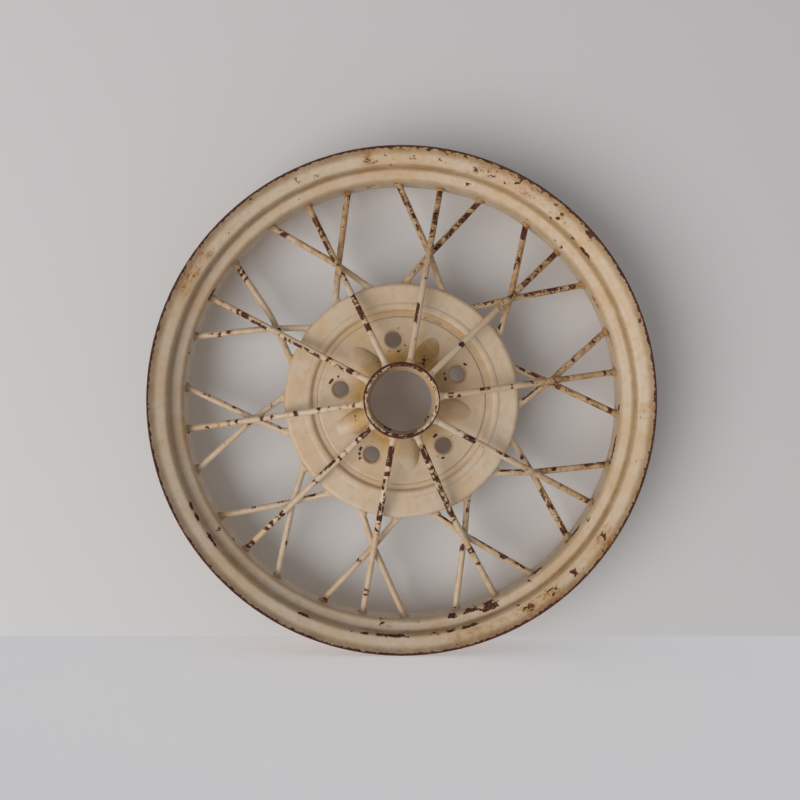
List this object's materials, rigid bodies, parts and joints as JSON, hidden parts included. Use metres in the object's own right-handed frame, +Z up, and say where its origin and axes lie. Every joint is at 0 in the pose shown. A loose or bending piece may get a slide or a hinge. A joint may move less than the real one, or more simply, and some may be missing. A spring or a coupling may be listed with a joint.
{
  "type": "spoked car wheel",
  "caption": "Vintage steel car wheel: drop-centre rim, welded rod spokes, hub with a projecting nose and a bolt circle of conical stud seats.",
  "frame": {"origin": "on the wheel's axis, in the middle plane of the rim", "axes": "Y along the wheel's axis, with the nose and the front of the wheel towards -Y and the mounting face towards +Y; +Z up"},
  "size_m": [0.57, 0.1147, 0.57],
  "materials": {
    "rim_paint": "worn satin cream enamel with rust",
    "hub_paint": "worn satin cream enamel with rust and grime",
    "spoke_paint": "worn satin cream enamel, chipped to rust"
  },
  "bodies": {
    "root": {"rim": "rim_paint", "hub_shell": "hub_paint", "stud_plate": "hub_paint", "spoke_flange": "hub_paint", "front_spoke_01": "spoke_paint", "front_spoke_02": "spoke_paint", "front_spoke_03": "spoke_paint", "front_spoke_04": "spoke_paint", "front_spoke_05": "spoke_paint", "front_spoke_06": "spoke_paint", "front_spoke_07": "spoke_paint", "front_spoke_08": "spoke_paint", "front_spoke_09": "spoke_paint", "front_spoke_10": "spoke_paint", "rear_spoke_01": "spoke_paint", "rear_spoke_02": "spoke_paint", "rear_spoke_03": "spoke_paint", "rear_spoke_04": "spoke_paint", "rear_spoke_05": "spoke_paint", "rear_spoke_06": "spoke_paint", "rear_spoke_07": "spoke_paint", "rear_spoke_08": "spoke_paint", "rear_spoke_09": "spoke_paint", "rear_spoke_10": "spoke_paint", "rear_spoke_11": "spoke_paint", "rear_spoke_12": "spoke_paint", "rear_spoke_13": "spoke_paint", "rear_spoke_14": "spoke_paint", "rear_spoke_15": "spoke_paint", "rear_spoke_16": "spoke_paint", "rear_spoke_17": "spoke_paint", "rear_spoke_18": "spoke_paint", "rear_spoke_19": "spoke_paint", "rear_spoke_20": "spoke_paint"}
  },
  "joints": []
}
